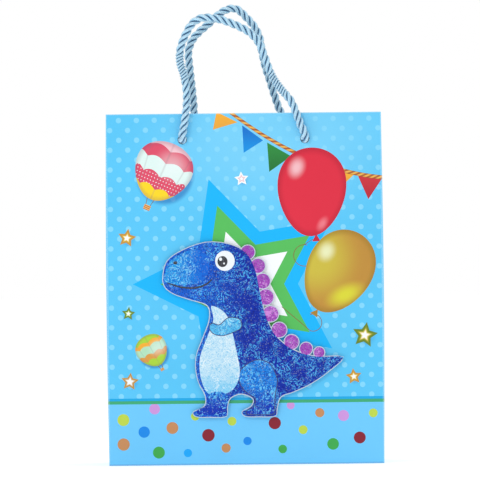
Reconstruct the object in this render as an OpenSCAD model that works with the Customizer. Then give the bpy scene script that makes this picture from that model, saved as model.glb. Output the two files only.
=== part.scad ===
// Paper gift bag with twisted cord handles, gussets that fold in and a raised card figure on its front.
// Frame: +Z up, front towards -Y, origin on the floor in the middle of the footprint. Millimetres.

/* [Bag] */
// Width of the front and back panels
bag_w = 180; // [150:1:240]
// Height from the floor to the rim
bag_h = 230; // [200:1:300]
// Depth of the standing bag
bag_d = 90; // [70:1:92]
// Thickness of the printed paper
paper_t = 0.35; // [0.25:0.05:0.4]

/* [Rim] */
// Height of the paper turned in at the rim
hem_h = 38; // [30:1:50]
// Height of the stiffening card inside the turned-in paper
rim_board_h = 32; // [25:1:36]
// Thickness of the stiffening card
rim_board_t = 0.6; // [0.4:0.1:0.8]

/* [Base] */
// Length of each side flap under the base board
side_flap = 60; // [30:1:70]
// Thickness of the loose-cut base board
base_board_t = 0.5; // [0.3:0.1:0.5]

/* [Handles] */
// Diameter of the twisted cord
cord_d = 5.5; // [4:0.1:6]
// Diameter of the punched cord holes
hole_d = 6.2; // [6.1:0.1:7]
// Distance between the two holes of one panel
hole_span = 80; // [60:1:84]
// Distance from the rim down to the hole centres
hole_drop = 17; // [12:1:20]
// Diameter of the knot behind each hole
knot_d = 8.6; // [7:0.1:9]
// Depth of the knot from the panel inwards
knot_depth = 7.4; // [5:0.1:8]
// Length of the cord tail below the knot's middle
tail_len = 12; // [6:1:16]

/* [Figure] */
// Thickness of the foam pads that raise the card figure
pad_t = 2; // [1:0.5:3]
// Thickness of the die-cut card figure
card_t = 0.6; // [0.4:0.1:1.2]
// Edge length of each square foam pad
pad_size = 12; // [8:1:14]

/* [Hidden] */

sky = "#62ccfb";
inside_white = "#f4f6f8";
grey_board = "#b9b6ae";
cord_blue = "#8fc4e6";
figure_blue = "#1f4fc0";

// Spaces between pieces that fold against each other
crease_gap = 0.15;
edge_gap = 0.4;
cord_gap = 0.3;
// How far stiff layers stay from the corner creases so that the gussets can swing in
rim_inset = 8;
gusset_hem_inset = 12;
knot_edge = 1.2;
seam_inset = 3;
seam_w = 12;
board_inset = 3.5;
// The fold's clearance over the base as it swings up
fold_lift = 4.6;
slit = 0.3;

figure_stand = pad_t + card_t;
y_front = figure_stand / 2 - bag_d / 2;
y_back = y_front + bag_d;
y_mid = (y_front + y_back) / 2;
x_side = bag_w / 2;
base_paper_h = 2 * paper_t;
base_len = bag_d - 2 * paper_t - edge_gap;
base_w = bag_w - 2 * paper_t - 2 * crease_gap;
rim_stack = paper_t + rim_board_t;
z_hole = bag_h - hole_drop;
ball_y = cord_d / 2 + cord_gap;
$fn = 48;

// ---- Paper ----

// Holes for the cord, through whatever stands between y = from and y = to
module cord_holes(from, to) {
    for (side = [-1, 1])
        translate([side * hole_span / 2, to + 1, z_hole])
            rotate([90, 0, 0])
                cylinder(d = hole_d, h = to - from + 2);
}

// A wide wall with its outer face at y = 0 and its thickness towards +Y
module wide_wall() {
    color(sky)
        difference() {
            translate([-x_side, 0, 0]) cube([bag_w, paper_t, bag_h]);
            cord_holes(0, paper_t);
        }
}

// The paper turned in over the rim board
module rim_hem() {
    half = x_side - rim_inset;
    color(inside_white)
        difference() {
            union() {
                translate([-half, rim_stack, bag_h - hem_h]) cube([2 * half, paper_t, hem_h]);
                translate([-half, paper_t, bag_h - paper_t]) cube([2 * half, rim_board_t + paper_t, paper_t]);
            }
            cord_holes(paper_t, rim_stack + paper_t);
        }
}

// The stiffening card between a wide wall and its hem
module rim_board() {
    half = x_side - rim_inset;
    color(grey_board)
        difference() {
            translate([-half, paper_t, bag_h - paper_t - rim_board_h])
                cube([2 * half, rim_board_t, rim_board_h]);
            cord_holes(paper_t, rim_stack);
        }
}

// Places a wall's pieces at the front, or turned to face the back
module at_front() { translate([0, y_front, 0]) children(); }
module at_back() { translate([0, y_back, 0]) mirror([0, 1, 0]) children(); }

module front_panel() { at_front() wide_wall(); }
module front_hem() { at_front() rim_hem(); }
module front_rim_board() { at_front() rim_board(); }
module back_panel() { at_back() wide_wall(); }
module back_hem() { at_back() rim_hem(); }
module back_rim_board() { at_back() rim_board(); }

// Height of the diagonal crease where the gusset ends and its bottom corner begins
function crease_z(y) = y - (y_front + paper_t) + fold_lift;

// A flat sheet standing in the left side wall: points are [y, z], off is its distance inside the outer face
module side_sheet(points, off = 0) {
    translate([-x_side + off, 0, 0])
        rotate([90, 0, 90])
            linear_extrude(paper_t) polygon(points);
}

// One half of a gusset from y = a to y = b, with its turned-in rim from y = c to y = d
module gusset_half(a, b, c, d) {
    color(sky) {
        side_sheet([[a, crease_z(a)], [b, crease_z(b)], [b, bag_h], [a, bag_h]]);
        side_sheet([[c, bag_h - hem_h], [d, bag_h - hem_h], [d, bag_h], [c, bag_h]], paper_t);
    }
}

gusset_a = y_front + paper_t + crease_gap;
gusset_d = y_back - paper_t - crease_gap;

module left_gusset_front() {
    gusset_half(gusset_a, y_mid - crease_gap, y_front + gusset_hem_inset, y_mid - 1);
}
module left_gusset_back() {
    gusset_half(y_mid + crease_gap, gusset_d, y_mid + 1, y_back - gusset_hem_inset);
}
module right_gusset_front() { mirror([1, 0, 0]) left_gusset_front(); }
module right_gusset_back() { mirror([1, 0, 0]) left_gusset_back(); }

// The glued edge of the sheet, inside the back left corner
module side_seam() {
    b = y_back - paper_t - seam_inset;
    a = b - seam_w;
    top = bag_h - hem_h - 1;
    color(inside_white)
        side_sheet([[a, crease_z(a) + fold_lift], [b, crease_z(b) + fold_lift], [b, top], [a, top]], paper_t);
}

// The bottom corner of the gusset, which creases and crumples as the bag is folded flat
module left_corner_fold() {
    color(sky)
        side_sheet([
            [gusset_a, 0], [gusset_d, 0], [gusset_d, crease_z(gusset_d) - slit], [gusset_a, crease_z(gusset_a) - slit]
        ]);
}
module right_corner_fold() { mirror([1, 0, 0]) left_corner_fold(); }

// ---- Base ----

// A rectangle of the base from s = a to s = b behind the front wall
module base_sheet(a, b, w, z, t) {
    translate([-w / 2, y_front + paper_t + a, z]) cube([w, b - a, t]);
}

module base_front_flap() { color(sky) base_sheet(crease_gap, base_len * 0.45, base_w, 0, paper_t); }
module base_back_flap() { color(sky) base_sheet(base_len * 0.45 + edge_gap, base_len, base_w, 0, paper_t); }

module base_side_flaps() {
    cut = base_len * 0.2;
    color(inside_white)
        for (side = [0, 1])
            mirror([side, 0, 0])
                translate([-base_w / 2, y_front + paper_t, paper_t])
                    linear_extrude(paper_t)
                        polygon([
                            [0, crease_gap], [side_flap, crease_gap + cut],
                            [side_flap, base_len - cut], [0, base_len]
                        ]);
}

module base_board() {
    color(grey_board)
        base_sheet(board_inset, base_len - board_inset, base_w - 2 * board_inset, base_paper_h, base_board_t);
}

// ---- Handles ----

// The knot behind a wide wall, with its tail and the cord that fills the hole
module knot() {
    inner = rim_stack + paper_t;
    end = inner + knot_depth;
    r = knot_d / 2;
    color(cord_blue) {
        rotate([-90, 0, 0])
            rotate_extrude()
                polygon([
                    [0, 0], [cord_d / 2, 0], [cord_d / 2, inner], [r - knot_edge, inner], [r, inner + knot_edge],
                    [r, end - knot_edge], [r - knot_edge, end], [0, end]
                ]);
        translate([0, inner + knot_depth / 2, -tail_len])
            cylinder(d = cord_d - 1.2, h = tail_len);
    }
}

module knot_at(side) { translate([side * hole_span / 2, 0, z_hole]) knot(); }
module front_left_knot() { at_front() knot_at(-1); }
module front_right_knot() { at_front() knot_at(1); }
module back_left_knot() { at_back() knot_at(-1); }
module back_right_knot() { at_back() knot_at(1); }

// The middle line of each handle above its holes: [x, height over the hole]
front_route = [
    [-40, 0], [-38.5, 11], [-37, 23], [-37, 32], [-38.5, 42], [-41, 51], [-40.5, 60], [-37, 69], [-32.5, 76],
    [-26, 79.5], [-17.5, 79], [-9, 76.5], [-1, 73], [5.5, 69], [10.5, 63], [14, 54.5], [17, 46], [20.5, 38.5],
    [26, 31], [31, 25], [34.5, 17], [37.5, 8.5], [40, 0]
];
back_route = [
    [-40, 0], [-36.5, 8], [-33, 18], [-33.5, 31], [-34.5, 41], [-35.5, 50.5], [-36, 60], [-33, 68],
    [-28, 73.5], [-21.5, 79], [-15.5, 84.5], [-9, 88], [-3, 87.5], [3, 82], [8, 76], [11.5, 68.5], [13, 59],
    [15, 49.5], [18, 40], [21, 30], [25, 19], [32, 8.5], [40, 0]
];
// Distance between the holes that the routes are drawn for
route_span = 80;
function spread(route) = [for (p = route) [p[0] * hole_span / route_span, p[1]]];

function unit(v) = v / norm(v);
// A point at parameter t of a smooth curve through the points p
function curve_at(p, t) =
    let (n = len(p), i = min(floor(t), n - 2), f = t - i)
    let (a = p[max(i - 1, 0)], b = p[i], c = p[i + 1], d = p[min(i + 2, n - 1)])
    0.5 * (2 * b + (c - a) * f + (2 * a - 5 * b + 4 * c - d) * f * f + (3 * b - a - 3 * c + d) * f * f * f);
// Points along the curve, steps per span
function curve(p, steps) = [for (i = [0:(len(p) - 1) * steps]) curve_at(p, i / steps)];

cord_sides = 10;
// Angles of the rings that round off the ends of a tube
end_rings = [80, 55, 28];
// A round tube with round ends in a plane of constant y, along points of [x, z]
module flat_tube(path, r) {
    last = len(path) - 1;
    first_way = unit(path[0] - path[1]);
    last_way = unit(path[last] - path[last - 1]);
    // Each ring: its middle, the way the tube runs there, and its radius
    rings = concat(
        [for (a = end_rings) [path[0] + first_way * r * sin(a), -first_way, r * cos(a)]],
        [for (i = [0:last]) [path[i], unit(path[min(i + 1, last)] - path[max(i - 1, 0)]), r]],
        [for (k = [len(end_rings) - 1:-1:0])
            let (a = end_rings[k])
            [path[last] + last_way * r * sin(a), last_way, r * cos(a)]]
    );
    n = len(rings);
    points = [for (ring = rings) for (k = [0:cord_sides - 1])
        let (a = 360 * k / cord_sides, out = ring[2] * cos(a))
        [ring[0][0] - ring[1][1] * out, ring[2] * sin(a), ring[0][1] + ring[1][0] * out]];
    walls = [for (i = [0:n - 2]) for (k = [0:cord_sides - 1])
        let (a = i * cord_sides + k, b = i * cord_sides + (k + 1) % cord_sides)
        [a, b, b + cord_sides, a + cord_sides]];
    start = [for (k = [cord_sides - 1:-1:0]) k];
    end = [for (k = [0:cord_sides - 1]) (n - 1) * cord_sides + k];
    polyhedron(points, concat([start], walls, [end]), convexity = 8);
}

// A handle: its loop, with a round end at each hole that it swings about
module handle(route) {
    color(cord_blue)
        translate([0, -ball_y, z_hole])
            flat_tube(curve(spread(route), 2), cord_d / 2);
}
module front_cord() { at_front() handle(front_route); }
module back_cord() { at_back() handle(back_route); }

// ---- Card figure ----

// Outline of a plain dinosaur in [x, z], from the snout over the back to the feet
figure_outline = [
    [-54, 124], [-51, 134], [-41, 141], [-26, 146], [-11, 145], [1, 139], [7, 128], [10, 114], [13, 100],
    [19, 86], [30, 76], [45, 71], [64, 70], [54, 60], [42, 52], [31, 47], [23, 44], [20.5, 37], [19, 31.5],
    [8, 31], [-1, 31.5], [-3, 35], [3, 38.5], [4, 43], [-3, 46], [-10, 43.5], [-12, 38], [-13, 31.5],
    [-24, 31], [-33, 31.5], [-35, 35], [-28, 38.5], [-27, 45], [-32, 56], [-33, 70], [-28, 84], [-24, 95],
    [-25, 104], [-36, 108], [-47, 112], [-53, 117]
];
// Back plates along the spine: [x, z, radius]
back_plates = [
    [2, 139, 5], [8.5, 130, 5.2], [11.5, 120, 5.4], [13.5, 109.5, 5.6], [16.5, 98.5, 5.6], [22, 88, 5.4],
    [30, 80, 5.2], [39.5, 75.5, 4.6], [48, 73, 4]
];
// Middles of the foam pads
pad_places = [[-30, 127], [-8, 122], [-14, 66], [14, 60], [-2, 92]];

function closed_curve(p, steps) = [for (i = [0:len(p) * steps - 1])
    let (n = len(p), k = floor(i / steps), f = i / steps - k)
    let (a = p[(k + n - 1) % n], b = p[k], c = p[(k + 1) % n], d = p[(k + 2) % n])
    0.5 * (2 * b + (c - a) * f + (2 * a - 5 * b + 4 * c - d) * f * f + (3 * b - a - 3 * c + d) * f * f * f)];

// Stands a flat outline of [x, z] up with its back at y = from, t thick towards the front
module standing(from, t) {
    translate([0, from, 0]) rotate([90, 0, 0]) linear_extrude(t) children();
}

module figure_card() {
    color(figure_blue)
        union() {
            standing(y_front - pad_t, card_t) polygon(closed_curve(figure_outline, 3));
            for (plate = back_plates)
                standing(y_front - pad_t, card_t) translate([plate[0], plate[1]]) circle(r = plate[2]);
        }
}

module figure_foam_pads() {
    color("white")
        for (place = pad_places)
            standing(y_front, pad_t)
                translate(place) square(pad_size, center = true);
}

front_panel();
front_hem();
front_rim_board();
back_panel();
back_hem();
back_rim_board();
left_gusset_front();
left_gusset_back();
right_gusset_front();
right_gusset_back();
side_seam();
left_corner_fold();
right_corner_fold();
base_front_flap();
base_back_flap();
base_side_flaps();
base_board();
front_left_knot();
front_right_knot();
back_left_knot();
back_right_knot();
front_cord();
back_cord();
figure_card();
figure_foam_pads();
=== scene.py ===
"""Gift bag: bowed, printed paper walls, twisted cord handles with knots, and a raised glitter figure."""

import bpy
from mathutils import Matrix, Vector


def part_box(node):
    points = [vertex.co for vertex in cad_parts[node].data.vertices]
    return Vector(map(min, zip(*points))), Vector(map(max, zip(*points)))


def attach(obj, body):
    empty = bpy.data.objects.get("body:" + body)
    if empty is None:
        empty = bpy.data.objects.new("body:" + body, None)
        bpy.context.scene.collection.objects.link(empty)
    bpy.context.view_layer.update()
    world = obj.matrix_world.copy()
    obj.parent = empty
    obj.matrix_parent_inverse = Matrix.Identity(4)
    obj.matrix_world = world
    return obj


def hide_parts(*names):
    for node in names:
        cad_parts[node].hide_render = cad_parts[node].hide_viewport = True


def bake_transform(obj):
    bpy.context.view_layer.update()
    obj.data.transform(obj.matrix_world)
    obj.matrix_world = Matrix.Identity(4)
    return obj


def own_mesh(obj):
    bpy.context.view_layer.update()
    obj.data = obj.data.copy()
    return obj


bl_info = {
    "name": "Gift Bag",
    "version": (1, 0, 0),
    "blender": (4, 5, 0),
    "location": "View3D > Sidebar > Gift Bag",
    "description": "Builds the looks of a paper gift bag around its packed CAD frame",
    "category": "Add Mesh",
}

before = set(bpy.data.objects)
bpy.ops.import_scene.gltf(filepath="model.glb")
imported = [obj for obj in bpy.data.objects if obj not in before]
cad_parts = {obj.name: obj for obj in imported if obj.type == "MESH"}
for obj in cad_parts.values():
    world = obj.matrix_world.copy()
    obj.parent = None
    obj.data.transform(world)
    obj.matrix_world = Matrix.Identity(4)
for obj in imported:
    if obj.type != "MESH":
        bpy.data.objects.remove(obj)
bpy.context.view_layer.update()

import math

import bmesh
import bpy
from bpy.props import FloatProperty, FloatVectorProperty, IntProperty, PointerProperty
from mathutils import Euler, Vector

MM = 0.001
TO_MM = 1000.0
WHITE = (1, 1, 1, 1)

front_low, front_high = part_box("front_panel")
knot_low, knot_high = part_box("front_left_knot")
cord_low, cord_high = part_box("front_cord")

# Sizes and places of the frame, in metres
SIDE_X = front_high.x
BAG_H = front_high.z
FRONT_Y = front_low.y
BACK_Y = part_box("back_panel")[1].y
MIDDLE_Y = (FRONT_Y + BACK_Y) / 2
PAPER = front_high.y - front_low.y
RIM_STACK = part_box("front_hem")[1].y - front_low.y
HOLE_X = -(knot_low.x + knot_high.x) / 2
KNOT_R = (knot_high.x - knot_low.x) / 2
HOLE_Z = knot_high.z - KNOT_R
CORD_OUT = FRONT_Y - (cord_low.y + cord_high.y) / 2
CARD_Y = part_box("figure_card")[0].y
CORD_D = 5.5 * MM


def srgb(r, g, b):
    """A linear colour from the 0-255 values of a colour chip."""
    def one(c):
        c = c / 255
        return c / 12.92 if c <= 0.04045 else ((c + 0.055) / 1.055) ** 2.4
    return (one(r), one(g), one(b), 1.0)


# ---------------------------------------------------------------- settings

def colour(name, what, chip):
    return FloatVectorProperty(
        name=name, description=what, subtype="COLOR", size=4, min=0, max=1, default=srgb(*chip))


def length(name, what, value):
    return FloatProperty(name=name, description=what, default=value, unit="LENGTH")


def number(name, what, value, unit="NONE"):
    return FloatProperty(name=name, description=what, default=value, min=0, unit=unit)


class GiftBagPaper(bpy.types.PropertyGroup):
    sky: colour("Sky", "Main colour of the printed paper", (88, 198, 246))
    sky_dot: colour("Sky dots", "Colour of the small dots on the sky", (132, 215, 250))
    band: colour("Band", "Colour of the strip along the bottom", (110, 202, 251))
    stripe_blue: colour("Blue stripe", "Upper stripe over the band", (15, 168, 228))
    stripe_green: colour("Green stripe", "Lower stripe over the band", (62, 170, 118))
    bow_out: length("Bow outwards", "How far the wide walls swell", 0.6 * MM)
    bow_side: length("Bow sideways", "How far the side creases swell", 0.8 * MM)
    grid: length("Grid", "Largest step of the walls' mesh", 7 * MM)


class GiftBagCord(bpy.types.PropertyGroup):
    satin: colour("Satin", "Lit side of the cord", (156, 220, 252))
    # Painted shade: the dark colour laid into the grooves between the strands
    groove_shade: colour("Groove", "Deep between the strands", (14, 58, 118))
    pitch: length("Pitch", "Length of one full turn of the strands", 15 * MM)
    step: length("Step", "Distance between the cord's rings", 0.5 * MM)
    strand_sides: IntProperty(
        name="Strand sides", description="Faces round each strand", default=10, min=6, max=24)


class GiftBagFigure(bpy.types.PropertyGroup):
    flakes: number("Glitter flakes", "Flakes per square metre", 80000.0)
    flake_size: length("Flake size", "Radius of one glitter flake", 0.2 * MM)
    seed: IntProperty(name="Seed", description="Where the flakes lie", default=7)


class GiftBagStage(bpy.types.PropertyGroup):
    view_x: length("View X", "What the camera looks at", -3 * MM)
    view_z: length("View height", "Height of the camera", 147 * MM)
    view_w: length("View width", "Width of the picture", 314 * MM)
    distance: length("Distance", "Camera to front wall", 5.0)
    roll: FloatProperty(
        name="Roll", description="Camera's roll", default=math.radians(0.6), subtype="ANGLE", unit="ROTATION")
    key_power: number("Key light", "Power of the light at the front", 6.0, "POWER")
    top_power: number("Top light", "Power of the light overhead", 5.0, "POWER")
    room_light: number("Room light", "Strength of the even light all round", 0.71)
    floor_glow: number("Floor glow", "Emission of the light table", 0.34)


# ---------------------------------------------------------------- node building

class Net:
    """Adds nodes to a tree. Most methods return one output of the new node."""

    def __init__(self, tree):
        self.tree = tree

    def add(self, kind, **settings):
        node = self.tree.nodes.new(kind)
        for key, value in settings.items():
            setattr(node, key, value)
        return node

    def put(self, socket, value):
        if isinstance(value, bpy.types.NodeSocket):
            self.tree.links.new(value, socket)
        else:
            socket.default_value = value

    def node(self, kind, inputs, **settings):
        """A new node with some inputs filled, by name or number: its outputs."""
        node = self.add(kind, **settings)
        for key, value in inputs.items():
            self.put(node.inputs[key], value)
        return node.outputs

    def math(self, operation, a, b=0.0, c=0.0):
        return self.node("ShaderNodeMath", {0: a, 1: b, 2: c}, operation=operation)[0]

    def plus(self, a, b):
        return self.math("ADD", a, b)

    def minus(self, a, b):
        return self.math("SUBTRACT", a, b)

    def times(self, a, b):
        return self.math("MULTIPLY", a, b)

    def linear(self, value, slope, start):
        return self.math("MULTIPLY_ADD", value, slope, start)

    def absolute(self, value):
        return self.math("ABSOLUTE", value)

    def sine(self, value):
        return self.math("SINE", value)

    def larger(self, a, b):
        return self.math("MAXIMUM", a, b)

    def smaller(self, a, b):
        return self.math("MINIMUM", a, b)

    def above(self, value, limit):
        return self.math("GREATER_THAN", value, limit)

    def below(self, value, limit):
        return self.math("LESS_THAN", value, limit)

    def squares(self, a, b):
        return self.plus(self.times(a, a), self.times(b, b))

    def reach(self, a, b):
        """How far (a, b) is from zero."""
        return self.math("SQRT", self.squares(a, b))

    def mix(self, share, a, b, mode="MIX"):
        """Colour a where share is 0 and colour b where it is 1."""
        return self.node("ShaderNodeMix", {0: share, 6: a, 7: b}, data_type="RGBA", blend_type=mode)[2]

    def grey(self, value):
        return self.node("ShaderNodeCombineColor", {0: value, 1: value, 2: value})[0]

    def ramp(self, value, low, high, start=0.0, end=1.0, smooth=True):
        """start where value is low, end where it is high, and a slope between."""
        return self.node("ShaderNodeMapRange", {0: value, 1: low, 2: high, 3: start, 4: end},
                         interpolation_type="SMOOTHSTEP" if smooth else "LINEAR")[0]

    def group(self, tree, **values):
        return self.node("ShaderNodeGroup", spaced(values), node_tree=tree)

    def noise(self, vector, scale, detail=2.0, rough=0.5, swirl=0.0):
        values = {"Vector": vector, "Scale": scale, "Detail": detail, "Roughness": rough, "Distortion": swirl}
        return self.node("ShaderNodeTexNoise", values)["Fac"]

    def place(self):
        """Object coordinates in millimetres: the vector and its X, Y and Z."""
        coordinates = self.add("ShaderNodeTexCoord").outputs["Object"]
        vector = self.node("ShaderNodeVectorMath", {0: coordinates, "Scale": TO_MM}, operation="SCALE")[0]
        return (vector, *self.node("ShaderNodeSeparateXYZ", {0: vector}))

    def bump(self, height, strength, distance, **normal):
        return self.node("ShaderNodeBump", {
            "Strength": strength, "Distance": distance, "Height": height, **normal})[0]

    def finish(self, **values):
        """Puts a Principled shader on the material, with some inputs filled by name."""
        shader = self.node("ShaderNodeBsdfPrincipled", spaced(values))[0]
        self.node("ShaderNodeOutputMaterial", {"Surface": shader})


def spaced(values):
    """Values by the names of their sockets, which have spaces."""
    return {key.replace("_", " "): value for key, value in values.items()}


def new_material(name):
    """An empty node material and its net."""
    material = bpy.data.materials.new(name)
    material.use_nodes = True
    material.node_tree.nodes.clear()
    return material, Net(material.node_tree)


def new_group(name, inputs, outputs):
    """An empty shader group: its tree, its net, and the sockets to read from and to fill. A label that ends
    in :c is a colour's, one that ends in :v is a vector's, and the others are numbers'."""
    tree = bpy.data.node_groups.new(name, "ShaderNodeTree")
    kinds = {"c": "NodeSocketColor", "v": "NodeSocketVector", "f": "NodeSocketFloat"}
    for in_out, labels in (("INPUT", inputs), ("OUTPUT", outputs)):
        for label in labels:
            label, _, kind = label.partition(":")
            tree.interface.new_socket(name=label, in_out=in_out, socket_type=kinds[kind or "f"])
    net = Net(tree)
    given = net.add("NodeGroupInput").outputs
    return tree, net, given, net.add("NodeGroupOutput").inputs


_groups = {}


def shared(make):
    """Builds a node group the first time that it is asked for."""
    def get():
        if make.__name__ not in _groups:
            _groups[make.__name__] = make()
        return _groups[make.__name__]
    return get


# A cell number stays above zero, and half a cell off, when this is added before its fraction is taken
CELLS_AHEAD = 100.5


@shared
def spot_group():
    """An ellipse or egg: Value is 0 in its middle and 1 on its edge, U and V run from -1 to 1 over it."""
    tree, net, given, out = new_group(
        "Print Spot", ("X", "Z", "Centre X", "Centre Z", "Half Width", "Half Height", "Turn", "Taper"),
        ("Value", "U", "V"))
    dx = net.minus(given["X"], given["Centre X"])
    dz = net.minus(given["Z"], given["Centre Z"])
    c = net.math("COSINE", given["Turn"])
    s = net.sine(given["Turn"])
    across = net.minus(net.times(dx, c), net.times(dz, s))
    along = net.plus(net.times(dx, s), net.times(dz, c))
    v = net.math("DIVIDE", along, given["Half Height"])
    width = net.times(given["Half Width"], net.linear(v, given["Taper"], 1.0))
    u = net.math("DIVIDE", across, width)
    net.put(out["Value"], net.reach(u, v))
    net.put(out["U"], u)
    net.put(out["V"], v)
    return tree


@shared
def star_group():
    """A five-pointed star: Value is 0 in its middle and 1 on its outline."""
    tree, net, given, out = new_group(
        "Print Star", ("X", "Z", "Centre X", "Centre Z", "Radius", "Turn"), ("Value",))
    tip = 2 * math.pi / 5
    inner = 0.5
    dx = net.minus(given["X"], given["Centre X"])
    dz = net.minus(given["Z"], given["Centre Z"])
    angle = net.minus(net.math("ARCTAN2", dz, dx), given["Turn"])
    turned = net.linear(angle, 1 / tip, CELLS_AHEAD)
    folded = net.absolute(net.minus(net.math("FRACT", turned), 0.5))
    a = net.times(folded, tip)
    slope = (1 - inner * math.cos(tip / 2)) / (inner * math.sin(tip / 2))
    edge = net.linear(net.sine(a), slope, net.math("COSINE", a))
    net.put(out["Value"], net.times(net.math("DIVIDE", net.reach(dx, dz), given["Radius"]), edge))
    return tree


def corners(names):
    """Labels for the place that is painted and for some corners."""
    return ("X", "Z", *[f"{name} {axis}" for name in names for axis in "XZ"])


def run_between(net, given, a, b):
    """From corner a to corner b, and from corner a to the place that is painted: X and Z of each."""
    return [net.minus(given[end + axis], given[f"{a} {axis}"]) for end in (b + " ", "") for axis in "XZ"]


@shared
def flag_group():
    """A triangle with corners A, B and C against the clock: Mask is 1 inside."""
    tree, net, given, out = new_group("Print Flag", corners("ABC"), ("Mask",))
    inside = 1.0
    for a, b in ("AB", "BC", "CA"):
        run_x, run_z, to_x, to_z = run_between(net, given, a, b)
        side = net.minus(net.times(run_x, to_z), net.times(run_z, to_x))
        inside = net.times(inside, net.above(side, 0.0))
    net.put(out["Mask"], inside)
    return tree


@shared
def line_group():
    """The distance from a straight stretch between A and B."""
    tree, net, given, out = new_group("Print Line", corners("AB"), ("Distance",))
    run_x, run_z, to_x, to_z = run_between(net, given, "A", "B")
    dot = net.plus(net.times(run_x, to_x), net.times(run_z, to_z))
    share = net.math("DIVIDE", dot, net.squares(run_x, run_z))
    share = net.smaller(net.larger(share, 0.0), 1.0)
    off_x = net.minus(to_x, net.times(run_x, share))
    off_z = net.minus(to_z, net.times(run_z, share))
    net.put(out["Distance"], net.reach(off_x, off_z))
    return tree


@shared
def satin_group():
    """Laminated paper: slight ink mottle, a fine peel and a little wear along the rim and creases."""
    tree, net, given, out = new_group(
        "Satin Laminate", ("Colour:c", "Mottle"), ("Colour:c", "Roughness", "Normal:v"))
    vector, x, _, z = net.place()
    broad = net.noise(vector, 0.02, 3.0)
    fine = net.noise(vector, 3.0)
    tone = net.linear(net.minus(broad, 0.5), given["Mottle"], 1.0)
    toned = net.mix(1.0, given["Colour"], net.grey(tone), "MULTIPLY")
    to_corner = net.minus(SIDE_X * TO_MM, net.absolute(x))
    to_rim = net.minus(BAG_H * TO_MM, z)
    near = net.smaller(net.smaller(to_rim, z), net.absolute(to_corner))
    wear = net.times(net.ramp(near, 0.9, 0.1), net.ramp(fine, 0.42, 0.7, 0.1, 0.55))
    net.put(out["Colour"], net.mix(wear, toned, (0.82, 0.92, 0.97, 1)))
    net.put(out["Roughness"], net.ramp(broad, 0.3, 0.7, 0.3, 0.4))
    wave = net.noise(vector, 0.012, 1.0)
    peel = net.bump(fine, 0.12, 0.05 * MM)
    net.put(out["Normal"], net.bump(wave, 0.35, 1.2 * MM, Normal=peel))
    return tree


@shared
def fibre_group():
    """Uncoated paper or board: fibres, specks and a dull, uneven surface."""
    tree, net, given, out = new_group(
        "Paper Fibre", ("Colour:c", "Speck:c", "Specks"), ("Colour:c", "Roughness", "Normal:v"))
    vector = net.place()[0]
    stretched = net.node("ShaderNodeVectorMath", {0: vector, 1: (1.0, 1.0, 4.0)}, operation="MULTIPLY")[0]
    fibre = net.noise(stretched, 1.1, 4.0, 0.65, 0.6)
    grain = net.noise(vector, 5.0)
    toned = net.mix(net.ramp(fibre, 0.3, 0.75, 0.0, 0.22), given["Colour"], given["Speck"])
    flecks = net.times(net.ramp(net.noise(vector, 1.7, 1.0), 0.66, 0.72), given["Specks"])
    net.put(out["Colour"], net.mix(flecks, toned, given["Speck"]))
    net.put(out["Roughness"], net.ramp(grain, 0.2, 0.8, 0.7, 0.92))
    net.put(out["Normal"], net.bump(net.plus(fibre, grain), 0.25, 0.12 * MM))
    return tree


@shared
def glitter_group():
    """Glitter varnish over crayon: curling light and dark strokes, and flakes that catch the light."""
    tree, net, given, out = new_group(
        "Glitter Drawing", ("Colour:c", "Light:c", "Dark:c", "Strokes", "Glitter"),
        ("Colour:c", "Roughness", "Metallic", "Normal:v"))
    vector = net.place()[0]
    curl = net.noise(vector, 0.2, 1.0, 0.5, 2.6)
    light_line = net.ramp(net.sine(net.times(curl, 21.0)), 0.35, 0.8)
    second = net.noise(vector, 0.27, 1.0, 0.5, 3.0)
    dark_line = net.ramp(net.sine(net.times(second, 17.0)), 0.45, 0.9)
    patch = net.ramp(net.noise(vector, 0.09), 0.38, 0.56)
    drawn = net.mix(net.times(dark_line, given["Strokes"]), given["Colour"], given["Dark"])
    drawn = net.mix(net.times(net.times(light_line, given["Strokes"]), patch), drawn, given["Light"])
    cells = net.node("ShaderNodeTexVoronoi", {"Vector": vector, "Scale": 2.4})["Color"]
    chance, height, _ = net.node("ShaderNodeSeparateColor", {0: cells})
    flake = net.times(net.above(chance, 0.95), given["Glitter"])
    net.put(out["Colour"], net.mix(net.times(flake, 0.4), drawn, (0.75, 0.9, 1.0, 1)))
    net.put(out["Roughness"], net.minus(0.5, net.times(flake, 0.3)))
    net.put(out["Metallic"], net.times(flake, 0.7))
    raised = net.times(height, net.plus(flake, 0.25))
    net.put(out["Normal"], net.bump(net.plus(raised, curl), 0.5, 0.12 * MM))
    return tree


# ---------------------------------------------------------------- the printed picture
# Every place and size of the print is in millimetres on the wall: x across, z above the floor.

DOT_PITCH_X = 11.7
DOT_PITCH_Z = 12.9
DOT_R = 1.8
DOT_SOFT = (0.15, -0.25)
DOT_START = (-81.7, 225.9)
BAND_TOP = 40.2
GREEN_TOP = 42.3
BLUE_TOP = 44.0
STRING_HALF = 0.22
ROPE_HALF = 1.35
ROPE_LEFT = -9.5
# The rope's height at x = 0, its slope there and how much it sags
ROPE_CURVE = (224.2, -0.722, 0.00344)

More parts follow.
